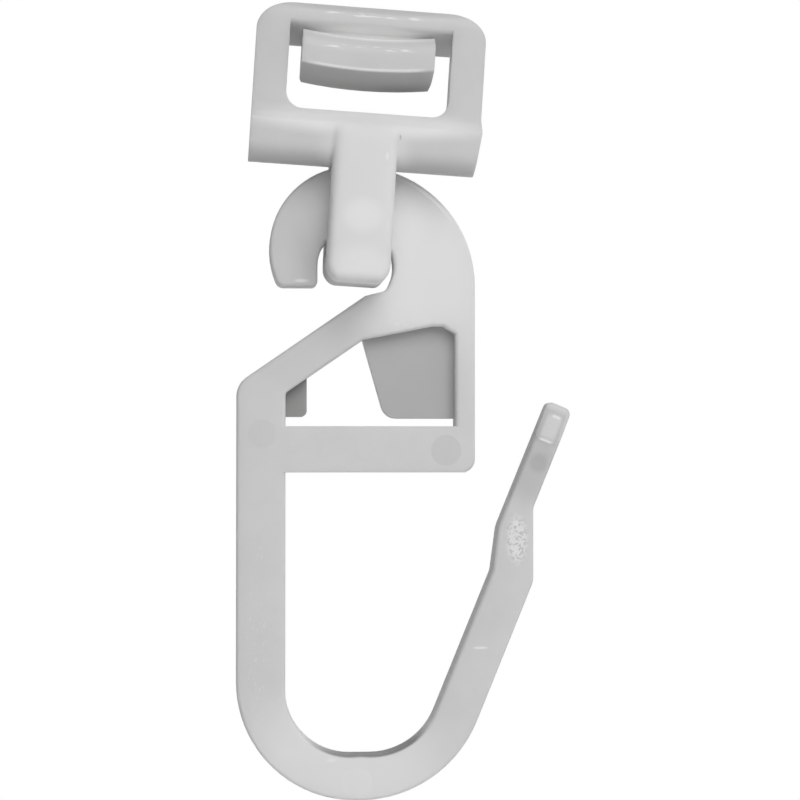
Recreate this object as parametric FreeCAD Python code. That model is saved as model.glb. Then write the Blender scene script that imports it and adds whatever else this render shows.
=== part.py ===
# Click-in curtain track glider with a clip-on pleat hook
import FreeCAD, Part
import math
import os

V = FreeCAD.Vector

# Frame: X along the track, Y to the back, Z up, millimetres
# Origin: middle of the glider, front face of its window frame, level of the track flange

# Glider: window frame
frame_w = 13.05
frame_top = 6.7
frame_t = 1.4
corner_w = 2.45
corner_h = 1.7
window_w = 9.25
window_low = 0.57
window_low_r = 1.0

# Glider: top bar with the rear lip that sits on the back flange
lip_h = 1.2
lip_reach = 3.2
lip_low = 4.42
lip_front_r = 0.85
lip_under_r = 0.3
lip_back_r = 0.8
lip_edge_r = 0.4

# Glider: half-round bar below the track
bar_reach = 1.3
bar_low = -2.64
bar_shoulder = 0.6
bar_edge = -0.25
bar_edge_r = 0.15
bar_shoulder_r = 0.8
bar_front_r = 1.2
bar_back_r = 1.35
bar_trim = 0.3

# Glider: snap tongue, hung from the top bar through the window
tongue_w = 7.5
tongue_x = -0.14
tongue_reach = 1.0
tongue_back = 2.8
tongue_root_t = 1.9
tongue_taper = 0.5
tongue_toe = 1.88
tongue_catch = 2.8
tongue_crest = 4.15
tongue_brow = 4.85
tongue_brow_y = 0.3
tongue_edge_r = 0.25
tongue_catch_r = 0.08
tongue_over_turn = 1.0
tongue_crest_r = 0.6
tongue_heel_r = 0.7
tongue_corner_r = 0.65
tongue_bow_r = 26.0

# Pleat hook: eye that closes round the ring
eye_r = 2.19
eye_gap = 0.39
eye_nose_angle = 40.0
eye_nose_r = 0.6
finger_r = 4.75
finger_turn = 95.0
finger_low = -1.16
finger_in_r = 0.3
finger_out_r = 0.5
plate_r = 6.84
plate_z = -1.09
hook_t = 2.0

# Glider: eye ring, standing across the track
ring_reach = 2.15
ring_front_t = 2.35
ring_back_t = 1.6
ring_room_front = 1.1
ring_room_back = 0.7
ring_drop = 8.03
ring_foot = 1.1
ring_root = 0.2
ring_top_reach = 1.5
ring_roof = -1.7
ring_arm_t = 1.5
ring_front_r = 1.2
ring_toe_r = 0.5
ring_heel_r = 3.2
ring_top_r = 2.0
ring_room_r = 1.0
ring_foot_r = 1.15
ring_foot_cut = 0.15
ring_edge_r = 0.45

# Pleat hook: swing of the hook in the ring, as pictured
hook_turn = 3.6

# Pleat hook: plate, rib and recess
rib_w = 1.1
step_left_x = 0.44
step_top_z = -3.4
step_flat_a = 4.4
step_flat_b = 5.03
step_rib_z = -3.83
sole_z = -8.69
sole_x = 1.73
sole_r = 0.9
back_layer_t = 1.0

# Pleat hook: crossbar in the front layer
cross_top = -9.14
cross_low = -11.78
cross_corner_share = 0.68
front_layer_t = 1.0

# Pleat hook: diagonal arm and tab
diag_x = 0.55
diag_z = -1.68
diag_angle = 34.6
diag_w = 2.0
diag_root_r = 0.3
tab_w = 1.23
tab_low = -8.6
tab_r = 0.35

# Pleat hook: long arm and bend
arm_x = -6.8
arm_w = 2.8
arm_shoulder_r = 1.35
bend_low = -30.43
bend_t = 2.53
bend_flat = 0.3
bend_out_left_r = 6.8
bend_out_right_r = 7.2
bend_in_left_r = 3.71
bend_in_right_r = 4.0

# Pleat hook: spring arm with knee and tip
run_lean = 22.2
run_w = 2.4
run_len = 13.4
knee_len = 4.2
knee_inset = 0.35
knee_r = 0.9
neck_len = 7.8
neck_r = 2.0
tip_len = 6.05
tip_w = 1.46
tip_in_r = 0.3
tip_out_r = 0.4
tip_pad_len = 2.1
tip_pad_step = 0.15
tip_pad_end = 0.5

# Edge rounding
hook_edge_r = 0.2
hook_back_edge = 0.1

# Places that follow from the sizes
ring_w = 2 * (eye_r - eye_gap)
ring_low = -(ring_drop + ring_foot)
bar_slope = (bar_shoulder - bar_edge) / bar_reach
ring_room_y = ring_front_t - ring_reach
hook_front = ring_room_y + ring_room_front
hook_back = hook_front + hook_t
ring_room_end = hook_back + ring_room_back
ring_back = ring_room_end + ring_back_t
arm_in = arm_x + arm_w
bend_in = bend_low + bend_t
rib_in = plate_r - rib_w
cross_corner_r = cross_corner_share * rib_w
tip_cut_w = 3 * tip_w


def rounded_path(corners):
    """Closed wire through 2-D corners (a, b, radius), each rounded by its own arc."""
    edges = []
    ends = []
    count = len(corners)
    for i, (a, b, radius) in enumerate(corners):
        here = V(a, b, 0)
        before = V(corners[i - 1][0], corners[i - 1][1], 0) - here
        after = V(corners[(i + 1) % count][0], corners[(i + 1) % count][1], 0) - here
        before.normalize()
        after.normalize()
        if radius <= 0:
            ends.append((here, here, None))
            continue
        half = before.getAngle(after) / 2
        reach = radius / math.tan(half)
        middle = before + after
        middle.normalize()
        centre = here + middle * (radius / math.sin(half))
        ends.append((here + before * reach, here + after * reach, centre - middle * radius))
    for i, (start, stop, crown) in enumerate(ends):
        if crown is not None:
            edges.append(Part.Arc(start, crown, stop).toShape())
        following = ends[(i + 1) % count][0]
        if stop.distanceToPoint(following) > 1e-6:
            edges.append(Part.makeLine(stop, following))
    return Part.Wire(edges)


def along_y(wire, start, stop):
    """Solid from a wire drawn in X and Z, pushed along Y."""
    face = Part.Face(wire)
    face.rotate(V(0, 0, 0), V(1, 0, 0), 90)
    face.translate(V(0, start, 0))
    return face.extrude(V(0, stop - start, 0))


def along_x(wire, width):
    """Solid from a wire drawn in Y and Z, pushed along X about the middle."""
    face = Part.Face(wire)
    face.rotate(V(0, 0, 0), V(1, 1, 1), 120)
    face.translate(V(-width / 2, 0, 0))
    return face.extrude(V(width, 0, 0))


def edges_at(shape, x, z, tol=0.05):
    """Edges that run along Y at a given X and Z."""
    found = []
    for edge in shape.Edges:
        if all(abs(p.Point.x - x) < tol and abs(p.Point.z - z) < tol for p in edge.Vertexes):
            found.append(edge)
    return found


def on_line(x, z, angle, length):
    """Point at a length along a line that leans from the vertical."""
    lean = math.radians(angle)
    return x + length * math.sin(lean), z + length * math.cos(lean)


def glider_body():
    """Window frame with its top bar and the half-round bar under it."""
    half = frame_w / 2
    side = frame_top - corner_h
    left = Part.BezierCurve()
    left.setPoles([V(-half, side, 0), V(-half, frame_top, 0), V(corner_w - half, frame_top, 0)])
    left.setWeight(2, math.sqrt(0.5))
    right = Part.BezierCurve()
    right.setPoles([V(half - corner_w, frame_top, 0), V(half, frame_top, 0), V(half, side, 0)])
    right.setWeight(2, math.sqrt(0.5))
    outline = Part.Wire([
        left.toShape(),
        Part.makeLine(V(corner_w - half, frame_top, 0), V(half - corner_w, frame_top, 0)),
        right.toShape(),
        Part.makeLine(V(half, side, 0), V(half, bar_edge, 0)),
        Part.makeLine(V(half, bar_edge, 0), V(half - bar_trim, bar_low, 0)),
        Part.makeLine(V(half - bar_trim, bar_low, 0), V(-half, bar_low, 0)),
        Part.makeLine(V(-half, bar_low, 0), V(-half, side, 0)),
    ])
    plate_top = frame_top - lip_front_r
    plate = along_x(rounded_path([
        (0, plate_top, 0),
        (frame_t, plate_top, 0),
        (frame_t, bar_low, bar_back_r),
        (-bar_reach, bar_low, bar_front_r),
        (-bar_reach, bar_edge, bar_edge_r),
        (0, bar_shoulder, bar_shoulder_r),
    ]), frame_w)
    window = along_y(rounded_path([
        (-window_w / 2, window_low, window_low_r),
        (window_w / 2, window_low, window_low_r),
        (window_w / 2, frame_top, 0),
        (-window_w / 2, frame_top, 0),
    ]), -bar_reach, frame_t)
    top_bar = along_x(rounded_path([
        (0, frame_top, lip_front_r),
        (lip_reach, frame_top, lip_back_r),
        (lip_reach, lip_low, lip_edge_r),
        (0, frame_top - lip_h, lip_under_r),
    ]), frame_w)
    frame = plate.cut(window).fuse(top_bar)
    return frame.common(along_y(outline, -bar_reach, lip_reach))


def snap_tongue():
    """Springy tongue with a catch at the front, bowed along the track."""
    half = tongue_w / 2
    root = frame_top - lip_h / 2
    root_y = tongue_back - tongue_root_t
    section = Part.Face(rounded_path([
        (root_y, root, 0),
        (tongue_back, root, 0),
        (tongue_back - tongue_taper, tongue_toe, tongue_heel_r),
        (-tongue_reach, tongue_catch, tongue_catch_r),
        (-tongue_reach, tongue_crest, tongue_crest_r),
        (tongue_brow_y, tongue_brow, tongue_edge_r),
        (root_y, tongue_brow, 0),
    ]))
    section.rotate(V(0, 0, 0), V(1, 1, 1), 120)
    hub = V(0, 0, tongue_toe + tongue_bow_r)
    turn = math.degrees(math.asin(half / (tongue_bow_r - root + tongue_toe))) + tongue_over_turn
    section.rotate(hub, V(0, 1, 0), turn)
    band = section.revolve(hub, V(0, -1, 0), 2 * turn)
    sag = tongue_bow_r - math.sqrt(tongue_bow_r ** 2 - half ** 2)
    sides = along_y(rounded_path([
        (-half, root, 0),
        (half, root, 0),
        (half, tongue_toe + sag, tongue_corner_r),
        (0, tongue_toe - sag, 0),
        (-half, tongue_toe + sag, tongue_corner_r),
    ]), -tongue_reach, tongue_back)
    tongue = band.common(sides)
    tongue.translate(V(tongue_x, 0, 0))
    return tongue


def eye_ring():
    """Ring that carries the hook, with a half-round seat for the hook's eye."""
    inside = frame_t / 2
    ring = along_x(rounded_path([
        (inside, bar_edge, 0),
        (-ring_root, bar_shoulder - ring_root * bar_slope, 0),
        (-ring_top_reach, bar_shoulder - ring_top_reach * bar_slope, ring_front_r),
        (-ring_reach, ring_low, ring_toe_r),
        (ring_back, ring_low, ring_heel_r),
        (ring_back, ring_roof + ring_arm_t, ring_top_r),
        (inside, ring_roof + ring_arm_t, 0),
    ]), ring_w)
    front_view = along_y(rounded_path([
        (-ring_w / 2, ring_low - ring_foot_cut, ring_foot_r),
        (ring_w / 2, ring_low - ring_foot_cut, ring_foot_r),
        (ring_w / 2, frame_top, 0),
        (-ring_w / 2, frame_top, 0),
    ]), -ring_reach, ring_back)
    ring = ring.common(front_view)
    rim = [e for e in ring.Edges if max(e.BoundBox.YLength, e.BoundBox.ZLength) > 1e-6]
    ring = ring.makeFillet(ring_edge_r, rim)
    room = along_x(rounded_path([
        (ring_room_y, ring_roof, ring_room_r),
        (ring_room_end, ring_roof, ring_room_r),
        (ring_room_end, -ring_drop, 0),
        (ring_room_y, -ring_drop, 0),
    ]), 2 * ring_w)
    seat_start = V(0, ring_room_y, -ring_drop)
    seat = Part.makeCylinder(ring_w / 2, ring_room_end - ring_room_y, seat_start, V(0, 1, 0))
    return ring.cut(room.cut(seat))


def diag_low(x):
    """Height of the diagonal arm's lower edge."""
    slope = math.tan(math.radians(diag_angle))
    return diag_z - diag_w / math.cos(math.radians(diag_angle)) + (x - diag_x) * slope


def eye_and_plate():
    """Open eye, upper plate and side rib, at the full thickness of the hook."""
    turn = math.radians(finger_turn)
    finger_x = (plate_r - finger_r) * math.cos(turn)
    finger_z = plate_z + (plate_r - finger_r) * math.sin(turn)
    meet = V(plate_r * math.cos(turn), plate_z + plate_r * math.sin(turn), 0)
    heel = V(finger_x - math.sqrt(finger_r ** 2 - (finger_low - finger_z) ** 2), finger_low, 0)
    nose_at = math.radians(eye_nose_angle)
    nose = V(eye_r * math.cos(nose_at), -eye_r * math.sin(nose_at), 0)
    crown_at = (math.pi - nose_at) / 2
    crown = V(eye_r * math.cos(crown_at), eye_r * math.sin(crown_at), 0)
    finger_mid = V(finger_x - finger_r, finger_z, 0)
    plate_mid = V(plate_r * math.cos(turn / 2), plate_z + plate_r * math.sin(turn / 2), 0)
    shoulder = V(plate_r, plate_z, 0)
    points = [
        V(-eye_r, 0, 0),
        V(-eye_r, finger_low, 0),
        heel,
    ]
    steps = [
        shoulder,
        V(plate_r, cross_low, 0),
        V(rib_in, cross_low, 0),
        V(rib_in, step_rib_z, 0),
        V(step_flat_b, step_top_z, 0),
        V(step_flat_a, step_top_z, 0),
        V(step_left_x, diag_low(step_left_x), 0),
        V(diag_x, diag_z, 0),
        nose,
    ]
    edges = [Part.makeLine(p, q) for p, q in zip(points, points[1:])]
    edges.append(Part.Arc(heel, finger_mid, meet).toShape())
    edges.append(Part.Arc(meet, plate_mid, shoulder).toShape())
    edges += [Part.makeLine(p, q) for p, q in zip(steps, steps[1:])]
    edges.append(Part.Arc(nose, crown, points[0]).toShape())
    solid = along_y(Part.Wire(edges), hook_front, hook_back)
    solid = solid.makeFillet(eye_nose_r, edges_at(solid, nose.x, nose.y))
    solid = solid.makeFillet(finger_in_r, edges_at(solid, -eye_r, finger_low))
    solid = solid.makeFillet(finger_out_r, edges_at(solid, heel.x, heel.y))
    return solid.makeFillet(cross_corner_r, edges_at(solid, plate_r, cross_low))


def shank():
    """Diagonal arm, long arm, bend and spring arm as one even band."""
    turn = math.radians(90 - run_lean) / 2
    lean = math.radians(run_lean)
    foot = arm_x + bend_out_left_r + bend_flat + bend_out_right_r * math.tan(turn)
    knee_low = on_line(foot, bend_low, run_lean, run_len)
    knee_high = (knee_low[0], knee_low[1] + knee_len)
    tip_out = on_line(knee_high[0], knee_high[1], run_lean, tip_len)
    tip_in = (tip_out[0] - tip_w * math.cos(lean), tip_out[1] + tip_w * math.sin(lean))
    neck = on_line(tip_in[0], tip_in[1], run_lean, -neck_len)
    start = (foot - run_w * math.cos(lean), bend_low + run_w * math.sin(lean))
    knee_in = on_line(start[0], start[1], run_lean, run_len - knee_inset)
    inner = on_line(start[0], start[1], run_lean, (bend_in - start[1]) / math.cos(lean))
    elbow = diag_z - (diag_x - arm_x) * math.tan(math.radians(diag_angle))
    band = along_y(rounded_path([
        (diag_x, diag_z, 0),
        (arm_x, elbow, arm_shoulder_r),
        (arm_x, bend_low, bend_out_left_r),
        (foot, bend_low, bend_out_right_r),
        (knee_low[0], knee_low[1], knee_r),
        (knee_high[0], knee_high[1], knee_r),
        (tip_out[0], tip_out[1], tip_out_r),
        (tip_in[0], tip_in[1], tip_in_r),
        (neck[0], neck[1], neck_r),
        (knee_in[0], knee_in[1], knee_r),
        (inner[0], inner[1], bend_in_right_r),
        (arm_in, bend_in, bend_in_left_r),
        (arm_in, diag_low(arm_in), diag_root_r),
        (step_left_x, diag_low(step_left_x), 0),
    ]), hook_front, hook_back)
    return band, tip_in


def tip_pad(tip_in):
    """Wedge taken off the front of the tip, so that it slides under the tape."""
    lean = math.radians(run_lean)
    up = V(math.sin(lean), 0, math.cos(lean))
    across = V(math.cos(lean), 0, -math.sin(lean))
    end = V(tip_in[0], 0, tip_in[1]) - across * tip_w
    foot = end - up * tip_pad_len
    clear = V(0, hook_front - hook_t, 0)
    step = V(0, hook_front + tip_pad_step, 0)
    deep = V(0, hook_front + tip_pad_end, 0)
    face = Part.Face(Part.makePolygon([foot + clear, foot + step, end + deep, end + clear, foot + clear]))
    return face.extrude(across * tip_cut_w)


def pleat_hook():
    """Whole hook, built about its eye and then hung in the ring."""
    band, tip_in = shank()
    hook = eye_and_plate().fuse(band).removeSplitter()
    rim = [e for e in hook.Edges if e.BoundBox.YMax < hook_front + 1e-6]
    hook = hook.makeFillet(hook_edge_r, rim)
    rim = [e for e in hook.Edges if e.BoundBox.YMin > hook_back - 1e-6]
    hook = hook.makeChamfer(hook_back_edge, rim)
    hook = hook.cut(tip_pad(tip_in))
    crossbar = along_y(rounded_path([
        (arm_in - arm_w / 2, cross_low, 0),
        (rib_in + rib_w / 2, cross_low, 0),
        (rib_in + rib_w / 2, cross_top, 0),
        (arm_in - arm_w / 2, cross_top, 0),
    ]), hook_front, hook_front + front_layer_t)
    sole = along_y(rounded_path([
        (step_left_x, diag_low(step_left_x), 0),
        (sole_x, sole_z, sole_r),
        (rib_in + rib_w / 2, sole_z, 0),
        (rib_in + rib_w / 2, step_top_z, 0),
        (step_flat_a, step_top_z + diag_w / 2, 0),
    ]), hook_back - back_layer_t, hook_back)
    tab = along_y(rounded_path([
        (arm_in - arm_w / 2, tab_low, 0),
        (arm_in + tab_w, tab_low, tab_r),
        (arm_in + tab_w, diag_low(arm_in + tab_w) + diag_w / 2, 0),
        (arm_in - arm_w / 2, diag_low(arm_in) + diag_w / 2, 0),
    ]), hook_back - back_layer_t, hook_back)
    hook = hook.fuse([crossbar, sole, tab]).removeSplitter()
    hook.rotate(V(0, 0, 0), V(0, -1, 0), hook_turn)
    hook.translate(V(0, 0, -ring_drop))
    return hook


os.makedirs("parts", exist_ok=True)
glider = glider_body().fuse([snap_tongue(), eye_ring()]).removeSplitter()
glider.exportStep("parts/glider.step")
pleat_hook().exportStep("parts/pleat_hook.step")
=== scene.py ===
import bpy
import math
from mathutils import Matrix, Vector


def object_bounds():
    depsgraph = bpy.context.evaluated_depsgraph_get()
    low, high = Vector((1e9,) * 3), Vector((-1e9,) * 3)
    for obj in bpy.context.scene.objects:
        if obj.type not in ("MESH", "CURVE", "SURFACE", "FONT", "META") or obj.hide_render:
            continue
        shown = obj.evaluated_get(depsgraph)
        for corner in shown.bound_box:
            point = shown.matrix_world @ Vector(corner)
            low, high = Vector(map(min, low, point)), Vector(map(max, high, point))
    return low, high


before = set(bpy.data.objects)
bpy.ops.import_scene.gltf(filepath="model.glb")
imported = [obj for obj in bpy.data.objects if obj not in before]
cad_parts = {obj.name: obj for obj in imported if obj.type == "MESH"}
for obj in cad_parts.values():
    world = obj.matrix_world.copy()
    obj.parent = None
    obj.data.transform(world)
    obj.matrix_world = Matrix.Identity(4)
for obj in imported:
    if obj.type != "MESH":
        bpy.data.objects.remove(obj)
cad_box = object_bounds()

# View
# The photograph looks at the hook almost square on, from a little to the left and below.
# The head stands askew in it because the hook, and not the head, is upright.
look_at = Vector((0.0030, 0.0013, -0.0155))
view_distance = 0.131
view_azimuth = math.radians(-4.0)
view_rise = math.radians(-1.5)
view_roll = math.radians(3.6)
picture_width = 0.0457
nearest_seen = 0.00655

lens = bpy.data.cameras.new("camera")
lens.lens = lens.sensor_width * view_distance / picture_width
lens.clip_start = nearest_seen
camera = bpy.data.objects.new("camera", lens)
bpy.context.scene.collection.objects.link(camera)
towards_camera = Vector((
    math.sin(view_azimuth) * math.cos(view_rise),
    -math.cos(view_azimuth) * math.cos(view_rise),
    math.sin(view_rise),
))
stand = Matrix.Translation(look_at + towards_camera * view_distance)
aim = (-towards_camera).to_track_quat("-Z", "Y").to_matrix().to_4x4()
camera.matrix_world = stand @ aim @ Matrix.Rotation(view_roll, 4, "Z")
bpy.context.scene.camera = camera
bpy.context.scene.view_settings.view_transform = "Standard"

# Light
# A white product table: a soft box high in front, a little to the right, a wide weak one low
# at the left and a weak one behind. The paper all round is white to the eye but gives only a
# little light, least at the left, so the walls that face left stay dark.
key_place = Vector((0.06, -0.25, 0.165))
key_size = 0.20
key_power = 0.485
fill_place = Vector((-0.16, -0.26, -0.03))
fill_size = 0.24
fill_power = 0.04
back_place = Vector((0.05, 0.30, 0.14))
back_size = 0.24
back_power = 0.07
paper_white = (1.0, 1.0, 1.0, 1.0)
paper_seen = 1.0
paper_light_left = 0.06
paper_light_right = 0.46
far_left = -1.0
far_right = 1.0


def soft_box(name, place, size, power):
    """Square soft box that faces the part."""
    box = bpy.data.lights.new(name, "AREA")
    box.shape = "SQUARE"
    box.size = size
    box.energy = power
    lamp = bpy.data.objects.new(name, box)
    bpy.context.scene.collection.objects.link(lamp)
    lamp.location = place
    lamp.rotation_euler = (look_at - place).to_track_quat("-Z", "Y").to_euler()


def reckon(value, operation, other):
    """Works out one value from a first and another, which may be a fixed number."""
    tree = value.id_data
    step = tree.nodes.new("ShaderNodeMath")
    step.operation = operation
    tree.links.new(value, step.inputs[0])
    if isinstance(other, bpy.types.NodeSocket):
        tree.links.new(other, step.inputs[1])
    else:
        step.inputs[1].default_value = other
    return step.outputs["Value"]


soft_box("key box", key_place, key_size, key_power)
soft_box("fill box", fill_place, fill_size, fill_power)
soft_box("back box", back_place, back_size, back_power)

paper = bpy.data.worlds.new("white paper")
paper.use_nodes = True
bpy.context.scene.world = paper
nodes = paper.node_tree.nodes
links = paper.node_tree.links
lit_paper = nodes["Background"]
lit_paper.inputs["Color"].default_value = paper_white
paper_place = nodes.new("ShaderNodeTexCoord")
paper_side = nodes.new("ShaderNodeSeparateXYZ")
links.new(paper_place.outputs["Generated"], paper_side.inputs["Vector"])
paper_level = nodes.new("ShaderNodeMapRange")
paper_level.inputs["From Min"].default_value = far_left
paper_level.inputs["From Max"].default_value = far_right
paper_level.inputs["To Min"].default_value = paper_light_left
paper_level.inputs["To Max"].default_value = paper_light_right
links.new(paper_side.outputs["X"], paper_level.inputs["Value"])
links.new(paper_level.outputs["Result"], lit_paper.inputs["Strength"])
seen_paper = nodes.new("ShaderNodeBackground")
seen_paper.inputs["Color"].default_value = paper_white
seen_paper.inputs["Strength"].default_value = paper_seen
ray = nodes.new("ShaderNodeLightPath")
seen_ray = ray.outputs["Is Camera Ray"]
for kind in ("Is Glossy Ray", "Is Transmission Ray"):
    seen_ray = reckon(seen_ray, "MAXIMUM", ray.outputs[kind])
paper_mix = nodes.new("ShaderNodeMixShader")
links.new(seen_ray, paper_mix.inputs["Fac"])
links.new(lit_paper.outputs["Background"], paper_mix.inputs[1])
links.new(seen_paper.outputs["Background"], paper_mix.inputs[2])
links.new(paper_mix.outputs["Shader"], nodes["World Output"].inputs["Surface"])

# Floor
# A sheet of pale card a short way under the part, which hangs above it as it does in a track.
# It only catches the shadow.
floor_drop = 0.02
floor_half = 0.12
floor_level = cad_box[0][2] - floor_drop
card_light = (0.90, 0.90, 0.90, 1.0)
card_shade = (0.87, 0.87, 0.87, 1.0)
card_fleck = 600.0
card_roughness = 0.9
mix_low = 6
mix_high = 7
mix_result = 2


def colour_mix(amount, low, high):
    """Colour from low to high by an amount; low is a fixed colour or comes from a node."""
    tree = amount.id_data
    mix = tree.nodes.new("ShaderNodeMix")
    mix.data_type = "RGBA"
    mix.inputs[mix_high].default_value = high
    if isinstance(low, bpy.types.NodeSocket):
        tree.links.new(low, mix.inputs[mix_low])
    else:
        mix.inputs[mix_low].default_value = low
    tree.links.new(amount, mix.inputs["Factor"])
    return mix.outputs[mix_result]


card = bpy.data.meshes.new("floor")
card.from_pydata(
    [
        (-floor_half, -floor_half, floor_level),
        (floor_half, -floor_half, floor_level),
        (floor_half, floor_half, floor_level),
        (-floor_half, floor_half, floor_level),
    ],
    [],
    [(0, 1, 2, 3)],
)
floor = bpy.data.objects.new("floor", card)
bpy.context.scene.collection.objects.link(floor)
card_paint = bpy.data.materials.new("pale card")
card_paint.use_nodes = True
nodes = card_paint.node_tree.nodes
links = card_paint.node_tree.links
card_skin = nodes["Principled BSDF"]
card_skin.inputs["Roughness"].default_value = card_roughness
card_place = nodes.new("ShaderNodeTexCoord")
card_grain = nodes.new("ShaderNodeTexNoise")
card_grain.inputs["Scale"].default_value = card_fleck
links.new(card_place.outputs["Object"], card_grain.inputs["Vector"])
card_tone = colour_mix(card_grain.outputs["Fac"], card_shade, card_light)
links.new(card_tone, card_skin.inputs["Base Color"])
card.materials.append(card_paint)

# Glider
# The click-in head, with window, snap tongue, half-round bar and eye ring in one shot of white
# plastic. The mould gives it a fine grain and the walls a cloudy tone; its crests have painted
# highlights.
glider_light = (0.78, 0.78, 0.777, 1.0)
glider_shade = (0.70, 0.70, 0.697, 1.0)
plastic_ior = 1.49
plastic_shine = 0.08
least_rough = 0.48
most_rough = 0.60
glow_share = 0.5
glow_colours = (1.0, 1.0, 1.0)
glow_depth = 0.0015
cloud_size = 0.0025
cloud_detail = 7.0
cloud_break = 0.65
grain_size = 0.00012
grain_detail = 2.0
grain_strength = 0.5
grain_depth = 0.000006
mould_edge = 0.00008
millimetre = 0.001
endless = 1000.0
from_front = (1.0, endless, 1.0)


def satin_plastic(name, light, shade):
    """White moulded plastic with cloudy tone, fine grain and edges softened by the mould."""
    paint = bpy.data.materials.new(name)
    paint.use_nodes = True
    nodes = paint.node_tree.nodes
    links = paint.node_tree.links
    shader = nodes["Principled BSDF"]
    shader.inputs["IOR"].default_value = plastic_ior
    shader.inputs["Specular IOR Level"].default_value = plastic_shine
    shader.inputs["Subsurface Weight"].default_value = glow_share
    shader.inputs["Subsurface Radius"].default_value = glow_colours
    shader.inputs["Subsurface Scale"].default_value = glow_depth
    place = nodes.new("ShaderNodeTexCoord")
    cloud = nodes.new("ShaderNodeTexNoise")
    cloud.inputs["Scale"].default_value = 1 / cloud_size
    cloud.inputs["Detail"].default_value = cloud_detail
    cloud.inputs["Roughness"].default_value = cloud_break
    links.new(place.outputs["Object"], cloud.inputs["Vector"])
    tone = colour_mix(cloud.outputs["Fac"], shade, light)
    links.new(tone, shader.inputs["Base Color"])
    gloss = nodes.new("ShaderNodeMapRange")
    gloss.inputs["To Min"].default_value = least_rough
    gloss.inputs["To Max"].default_value = most_rough
    links.new(cloud.outputs["Fac"], gloss.inputs["Value"])
    links.new(gloss.outputs["Result"], shader.inputs["Roughness"])
    grain = nodes.new("ShaderNodeTexNoise")
    grain.inputs["Scale"].default_value = 1 / grain_size
    grain.inputs["Detail"].default_value = grain_detail
    links.new(place.outputs["Object"], grain.inputs["Vector"])
    edge = nodes.new("ShaderNodeBevel")
    edge.inputs["Radius"].default_value = mould_edge
    relief = nodes.new("ShaderNodeBump")
    relief.inputs["Strength"].default_value = grain_strength
    relief.inputs["Distance"].default_value = grain_depth
    links.new(grain.outputs["Fac"], relief.inputs["Height"])
    links.new(edge.outputs["Normal"], relief.inputs["Normal"])
    links.new(relief.outputs["Normal"], shader.inputs["Normal"])
    return paint


def places_on(paint, drop, turn):
    """Places on a piece in millimetres, about a point under the origin and turned with it."""
    tree = paint.node_tree
    flat = tree.nodes.new("ShaderNodeMapping")
    flat.vector_type = "TEXTURE"
    flat.inputs["Location"].default_value = (0.0, 0.0, -drop)
    flat.inputs["Rotation"].default_value = (0.0, -turn, 0.0)
    flat.inputs["Scale"].default_value = (millimetre, millimetre, millimetre)
    place = tree.nodes["Texture Coordinate"]
    tree.links.new(place.outputs["Object"], flat.inputs["Vector"])
    return flat.outputs["Vector"]


def fade(value, full, none):
    """1 where the value is at full, 0 where it is at none, and smooth between."""
    tree = value.id_data
    step = tree.nodes.new("ShaderNodeMapRange")
    step.interpolation_type = "SMOOTHSTEP"
    step.inputs["From Min"].default_value = none
    step.inputs["From Max"].default_value = full
    tree.links.new(value, step.inputs["Value"])
    return step.outputs["Result"]


def both(first, second):
    """1 only where both masks are 1."""
    return reckon(first, "MULTIPLY", second)


def share(mask, amount):
    """Part of a mask, for a faint mark."""
    return reckon(mask, "MULTIPLY", amount)


def along_axes(places, operation, amounts):
    """Places with amounts taken off, or divided out, along each axis."""
    tree = places.id_data
    step = tree.nodes.new("ShaderNodeVectorMath")
    step.operation = operation
    step.inputs[1].default_value = amounts
    tree.links.new(places, step.inputs[0])
    return step.outputs["Vector"]


def span(places, middle, reach):
    """Distance from a middle, counted in half sizes along each axis, all in millimetres."""
    away = along_axes(along_axes(places, "SUBTRACT", middle), "DIVIDE", reach)
    tree = places.id_data
    length = tree.nodes.new("ShaderNodeVectorMath")
    length.operation = "LENGTH"
    tree.links.new(away, length.inputs[0])
    return length.outputs["Value"]


def patch(places, middle, reach, soft):
    """Egg-shaped mask with its middle and half sizes; soft is the share that fades."""
    return fade(span(places, middle, reach), full=1.0 - soft, none=1.0)


def arc_line(places, hub, radius, half):
    """Thin line along an arc that is seen from the front, by its hub, radius and half width."""
    off = reckon(span(places, hub, from_front), "SUBTRACT", radius)
    return fade(reckon(off, "ABSOLUTE", 0.0), full=0.0, none=half)


def flecks(places, size, low, high):
    """Scattered flecks of a size in millimetres along each axis, none at low and full at high."""
    tree = places.id_data
    noise = tree.nodes.new("ShaderNodeTexNoise")
    noise.inputs["Scale"].default_value = 1.0
    noise.inputs["Detail"].default_value = 1.0
    tree.links.new(along_axes(places, "DIVIDE", size), noise.inputs["Vector"])
    return fade(noise.outputs["Fac"], full=high, none=low)


def tint(mask, tone):
    """Turns the plastic to a tone where the mask is."""
    tree = mask.id_data
    skin = tree.nodes["Principled BSDF"].inputs["Base Color"]
    before = skin.links[0].from_socket
    tree.links.new(colour_mix(mask, before, tone), skin)


def press(mask, depth):
    """Sinks the surface by a depth in metres where the mask is."""
    tree = mask.id_data
    skin = tree.nodes["Principled BSDF"].inputs["Normal"]
    before = skin.links[0].from_socket
    dent = tree.nodes.new("ShaderNodeBump")
    dent.invert = True
    dent.inputs["Distance"].default_value = depth
    tree.links.new(mask, dent.inputs["Height"])
    tree.links.new(before, dent.inputs["Normal"])
    tree.links.new(dent.outputs["Normal"], skin)


def soften(mask, radius):
    """Rounds the edges more in the shading where the mask is, up to a radius in metres."""
    tree = mask.id_data
    wide = tree.nodes.new("ShaderNodeMapRange")
    wide.inputs["To Min"].default_value = mould_edge
    wide.inputs["To Max"].default_value = radius
    tree.links.new(mask, wide.inputs["Value"])
    tree.links.new(wide.outputs["Result"], tree.nodes["Bevel"].inputs["Radius"])


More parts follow.
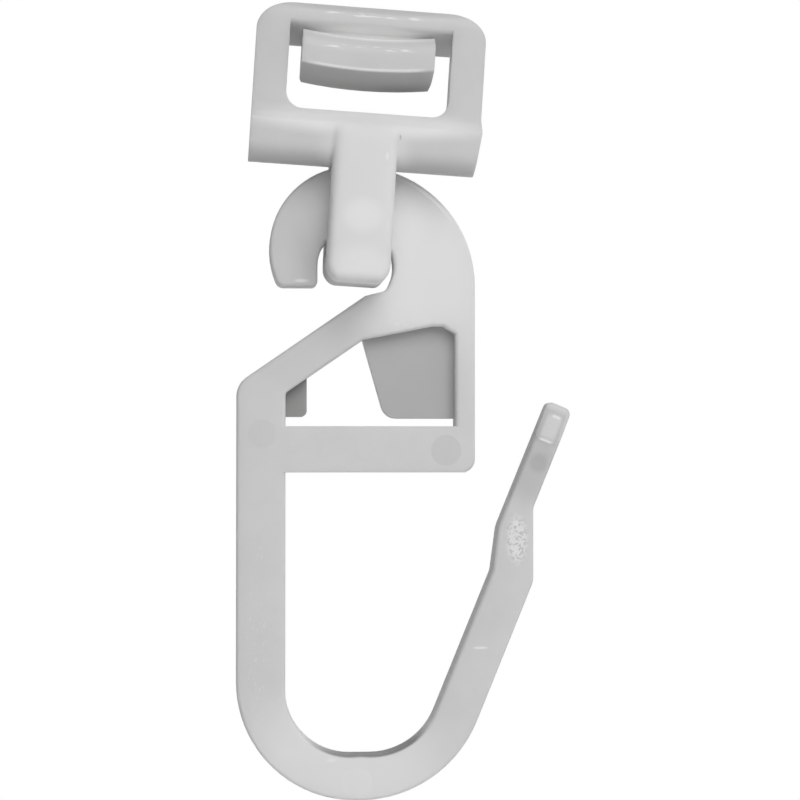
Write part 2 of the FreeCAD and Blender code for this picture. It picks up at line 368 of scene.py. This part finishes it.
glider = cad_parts["glider"]
glider_skin = satin_plastic("glider plastic", glider_light, glider_shade)
on_glider = places_on(glider_skin, drop=0.0, turn=0.0)

# Painted light on the shoulder, the ring and its toe, painted shade on the low side of the bar,
# and the ring's edges rounded more in the shading so that it flows softly into the bar
shoulder_light_tone = (0.99, 0.99, 0.985, 1.0)
bar_low_shade_tone = (0.62, 0.62, 0.617, 1.0)
ring_light_tone = (0.88, 0.88, 0.875, 1.0)
toe_light_tone = (0.98, 0.98, 0.975, 1.0)
ring_edge = 0.0006
shoulder = patch(on_glider, middle=(0.0, -1.3, 0.0), reach=(9.0, 3.0, 1.3), soft=0.7)
bar_low = patch(on_glider, middle=(0.0, 0.0, -2.95), reach=(endless, endless, 1.5), soft=1.0)
ring = patch(on_glider, middle=(0.0, -1.6, -4.2), reach=(3.4, 1.9, 7.0), soft=0.5)
toe = patch(on_glider, middle=(0.0, -1.4, -8.6), reach=(3.0, 2.0, 2.0), soft=0.7)
ring_top = patch(on_glider, middle=(0.0, -1.6, -2.2), reach=(3.4, 1.9, 5.6), soft=0.5)
tint(shoulder, shoulder_light_tone)
tint(bar_low, bar_low_shade_tone)
tint(ring, ring_light_tone)
tint(toe, toe_light_tone)
soften(ring_top, ring_edge)

# Painted shade along the top of the top bar, and painted highlight flecks along the crests
# of the top bar and of the tongue
top_edge_shade_tone = (0.63, 0.63, 0.627, 1.0)
rub_and_highlight_white = (0.93, 0.93, 0.925, 1.0)
top_edge_shade = patch(on_glider, middle=(0.0, 0.0, 6.7), reach=(7.5, 9.0, 0.6), soft=0.5)
top_crest = patch(on_glider, middle=(0.0, 0.1, 6.12), reach=(4.6, 0.5, 0.16), soft=0.4)
tongue_crest = patch(on_glider, middle=(-0.1, -0.9, 4.1), reach=(3.7, 0.4, 0.16), soft=0.4)
crest_highlight_flecks = flecks(on_glider, size=(0.9, 0.3, 0.12), low=0.50, high=0.66)
tint(top_edge_shade, top_edge_shade_tone)
tint(both(crest_highlight_flecks, top_crest), rub_and_highlight_white)
tint(both(crest_highlight_flecks, tongue_crest), rub_and_highlight_white)

# Painted shade on the underside of the tongue, which is bowed about a hub high above it,
# deeper towards the right, and painted light on the lintel above the tongue
under_shade_tone = (0.56, 0.56, 0.557, 1.0)
under_deep_shade_tone = (0.36, 0.36, 0.357, 1.0)
lintel_light_tone = (0.98, 0.98, 0.975, 1.0)
tongue_hub = (-0.14, 0.0, 27.88)
under_middle = (-0.14, 0.0, 2.4)
under_shade = fade(span(on_glider, tongue_hub, from_front), full=25.14, none=25.08)
for slab in ((3.95, endless, endless), (endless, endless, 1.3)):
    under_shade = both(under_shade, patch(on_glider, under_middle, reach=slab, soft=0.02))
under_right_shade = patch(on_glider, middle=(3.2, 1.4, 2.0), reach=(5.0, 2.4, 0.8), soft=0.9)
lintel_light = patch(on_glider, middle=(0.0, 0.3, 5.1), reach=(4.6, 3.0, 0.55), soft=0.6)
tint(under_shade, under_shade_tone)
tint(both(under_shade, under_right_shade), under_deep_shade_tone)
tint(lintel_light, lintel_light_tone)

# Painted highlights along the edge of the tongue and on the front of the ring
wear_and_highlight_white = (1.0, 1.0, 0.995, 1.0)
tongue_low = patch(on_glider, middle=(-0.14, -0.8, 2.95), reach=(4.0, 0.8, 0.6), soft=0.3)
tongue_edge_highlight = arc_line(on_glider, tongue_hub, radius=25.0, half=0.12)
ring_highlight = patch(on_glider, middle=(0.05, -1.9, -5.4), reach=(1.55, 0.8, 1.35), soft=0.9)
ring_glint = patch(on_glider, middle=(1.23, -1.9, -2.0), reach=(0.14, 0.8, 0.36), soft=0.7)
tint(both(tongue_edge_highlight, tongue_low), wear_and_highlight_white)
tint(ring_highlight, wear_and_highlight_white)
tint(ring_glint, wear_and_highlight_white)

# Nick beside the ring, where the plastic came in
gate_tone = (0.45, 0.45, 0.447, 1.0)
gate_depth = 0.00006
gate = patch(on_glider, middle=(1.92, -1.3, -0.86), reach=(0.08, 0.5, 0.22), soft=0.8)
gate_scar = share(gate, 0.5)
tint(gate_scar, gate_tone)
press(gate_scar, gate_depth)
glider.data.materials.clear()
glider.data.materials.append(glider_skin)

# Pleat hook
# The flat hook with its eye, plate, crossbar and spring arm, one shot of the same white plastic.
# Round ejector pins of the mould have left faint discs, and use has scuffed the knee.
hook_light = (0.83, 0.83, 0.827, 1.0)
hook_shade = (0.74, 0.74, 0.737, 1.0)
eye_drop = 0.00803
hook_turn = math.radians(3.6)
hook_front = 1.3
hook_back = 3.3
parting = 2.3
through = 9.0

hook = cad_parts["pleat_hook"]
hook_skin = satin_plastic("hook plastic", hook_light, hook_shade)
on_hook = places_on(hook_skin, eye_drop, hook_turn)
split = hook_skin.node_tree.nodes.new("ShaderNodeSeparateXYZ")
hook_skin.node_tree.links.new(on_hook, split.inputs["Vector"])
depth = split.outputs["Y"]
on_front = fade(depth, full=hook_front + 0.1, none=hook_front + 0.4)
on_rear = fade(depth, full=hook_back - 0.1, none=hook_back - 0.3)
off_rear = fade(depth, full=hook_back - 0.4, none=hook_back - 0.2)

# Painted light on the broad plate, the bend and round the eye, painted shade on the thin neck,
# the finger and the brace
plate_and_bend_light_tone = (0.91, 0.91, 0.905, 1.0)
neck_shade_tone = (0.66, 0.66, 0.657, 1.0)
finger_and_brace_shade_tone = (0.75, 0.75, 0.747, 1.0)
eye_light_tone = (1.0, 1.0, 0.995, 1.0)
plate = patch(on_hook, middle=(4.2, parting, -0.9), reach=(6.8, through, 6.6), soft=0.75)
bend = patch(on_hook, middle=(-1.0, parting, -29.0), reach=(8.0, through, 6.5), soft=0.6)
neck = patch(on_hook, middle=(10.3, parting, -11.4), reach=(2.6, through, 3.2), soft=0.6)
finger = patch(on_hook, middle=(-4.2, parting, 1.8), reach=(3.0, through, 5.0), soft=0.4)
brace = patch(on_hook, middle=(-3.0, parting, -4.7), reach=(4.5, through, 3.0), soft=0.5)
eye = patch(on_hook, middle=(0.4, parting, 2.8), reach=(4.2, through, 4.4), soft=0.6)
tint(plate, plate_and_bend_light_tone)
tint(bend, plate_and_bend_light_tone)
tint(neck, neck_shade_tone)
tint(finger, finger_and_brace_shade_tone)
tint(brace, finger_and_brace_shade_tone)
tint(eye, eye_light_tone)

# Rear layer: its front face lies deep behind the crossbar and is only half as thick. Painted
# shade darkens the sole and the tab, and at the same depth a fine line round the sides.
sole_shade_tone = (0.57, 0.57, 0.567, 1.0)
tab_shade_tone = (0.37, 0.37, 0.367, 1.0)
sole = patch(on_hook, middle=(3.4, parting, -6.0), reach=(9.0, 0.08, 9.0), soft=0.3)
tab = patch(on_hook, middle=(-3.4, parting, -7.4), reach=(2.2, 0.08, 4.0), soft=0.3)
tint(sole, sole_shade_tone)
tint(tab, tab_shade_tone)

# Ejector pins, clear on the crossbar, half rubbed off on the arms and blurred near the tip
pin_tone = (0.69, 0.69, 0.687, 1.0)
tip_pin_tone = (0.50, 0.50, 0.497, 1.0)
pale_pin_tone = (0.96, 0.96, 0.955, 1.0)
pin_depth = 0.00002
pin_reach = 1.5


def pin_mark(x, z, radius, tone, clear, soft):
    """Shallow disc left by a round pin on the front face, from 0 for rubbed off to 1 for clear."""
    disc = patch(on_hook, (x, hook_front, z), (radius, pin_reach, radius), soft)
    disc = share(both(disc, on_front), clear)
    tint(disc, tone)
    press(disc, pin_depth)


pin_mark(x=-5.37, z=-9.6, radius=0.86, tone=pin_tone, clear=0.25, soft=0.16)
pin_mark(x=5.14, z=-10.55, radius=0.95, tone=pin_tone, clear=0.55, soft=0.16)
pin_mark(x=0.12, z=-29.37, radius=0.95, tone=pale_pin_tone, clear=0.25, soft=0.16)
pin_mark(x=10.51, z=-11.24, radius=0.76, tone=tip_pin_tone, clear=0.5, soft=0.6)

# Scuffed knee
pit_tone = (0.62, 0.62, 0.617, 1.0)
knee = patch(on_hook, middle=(9.25, hook_front, -15.62), reach=(0.80, 1.0, 1.8), soft=0.6)
knee_flecks = flecks(on_hook, size=(0.14, 0.14, 0.14), low=0.42, high=0.50)
scuff = both(both(knee, knee_flecks), on_front)
tint(share(both(knee, on_front), 0.35), pit_tone)
tint(scuff, wear_and_highlight_white)
press(scuff, pin_depth)


# Rubs from handling, and painted highlight dashes
def handling_rub(middle, reach, size, low, high):
    """Scattered light flecks in a patch of the front face."""
    rubbed = both(patch(on_hook, middle, reach, soft=0.6), flecks(on_hook, size, low, high))
    tint(both(rubbed, on_front), rub_and_highlight_white)


handling_rub(
    middle=(2.4, hook_front, -10.0), reach=(2.2, 1.0, 1.0),
    size=(0.35, 0.4, 0.15), low=0.68, high=0.90,
)
handling_rub(
    middle=(-5.6, hook_front, -22.0), reach=(0.8, 1.0, 8.5),
    size=(0.12, 0.4, 0.25), low=0.60, high=0.85,
)
handling_rub(
    middle=(3.2, hook_front, -3.35), reach=(2.2, 1.0, 0.45),
    size=(0.40, 0.4, 0.20), low=0.52, high=0.70,
)
# Painted highlight dashes on the run, the bend and the finger
run_highlight = patch(on_hook, middle=(7.14, hook_front, -21.8), reach=(0.55, 0.3, 0.10), soft=0.6)
bend_highlight = patch(on_hook, middle=(-1.37, hook_front, -28.14), reach=(0.40, 0.3, 0.16), soft=0.7)
finger_highlight = patch(on_hook, middle=(-3.1, hook_front, -0.85), reach=(0.60, 0.3, 0.16), soft=0.8)
for dash in (run_highlight, bend_highlight, finger_highlight):
    tint(dash, wear_and_highlight_white)

# Painted highlight along the rim at the top of the plate
plate_rim_highlight = arc_line(on_hook, hub=(0.0, hook_front, -1.09), radius=6.60, half=0.14)
plate_top = patch(on_hook, middle=(3.6, hook_front, 4.2), reach=(3.0, 0.8, 2.8), soft=0.6)
tint(both(plate_rim_highlight, plate_top), wear_and_highlight_white)

# Painted shade on the inner wall at the bottom of the bend, which is made of two arcs
bend_wall_shade_tone = (0.28, 0.28, 0.277, 1.0)
bend_low = patch(on_hook, middle=(0.9, hook_front, -27.3), reach=(4.3, 6.0, 1.9), soft=0.5)
bend_left = arc_line(on_hook, hub=(-0.29, hook_front, -24.19), radius=3.72, half=0.15)
bend_right = arc_line(on_hook, hub=(0.89, hook_front, -23.90), radius=4.01, half=0.15)
tint(both(bend_left, bend_low), bend_wall_shade_tone)
tint(both(bend_right, bend_low), bend_wall_shade_tone)

# Tip: a smooth lighter pad with painted highlights at its ends and painted shade round it,
# along the lean of the spring arm
arm_lean = math.radians(22.2)
pad_border_shade_tone = (0.45, 0.45, 0.447, 1.0)
pad_tone = (0.79, 0.79, 0.785, 1.0)
on_tip = places_on(hook_skin, eye_drop, hook_turn - arm_lean)


def pad(x, z, half_wide, half_tall, soft):
    """Rounded oblong on the tip, its middle and half sizes in millimetres along the arm."""
    middle = (x, hook_front, z)
    wide = patch(on_tip, middle, (half_wide, through, through), soft)
    tall = patch(on_tip, middle, (through, through, half_tall), soft)
    return both(both(wide, tall), off_rear)


pad_border_shade = share(pad(x=13.85, z=-4.27, half_wide=0.80, half_tall=1.22, soft=0.35), 0.45)
pad_face = pad(x=13.90, z=-4.27, half_wide=0.60, half_tall=1.00, soft=0.5)
pad_top_highlight = pad(x=13.98, z=-3.60, half_wide=0.34, half_tall=0.13, soft=0.6)
pad_bottom_highlight = pad(x=13.85, z=-5.10, half_wide=0.50, half_tall=0.10, soft=0.6)
tint(pad_border_shade, pad_border_shade_tone)
tint(pad_face, pad_tone)
tint(pad_top_highlight, wear_and_highlight_white)
tint(pad_bottom_highlight, wear_and_highlight_white)

# Tool marks of the mould on the rear face
tool_pitch = 0.8
tool_wander = 2.5
tool_waves = hook_skin.node_tree.nodes.new("ShaderNodeTexWave")
tool_waves.inputs["Scale"].default_value = tool_pitch
tool_waves.inputs["Distortion"].default_value = tool_wander
hook_skin.node_tree.links.new(on_hook, tool_waves.inputs["Vector"])
press(both(tool_waves.outputs["Fac"], on_rear), pin_depth)
hook.data.materials.clear()
hook.data.materials.append(hook_skin)
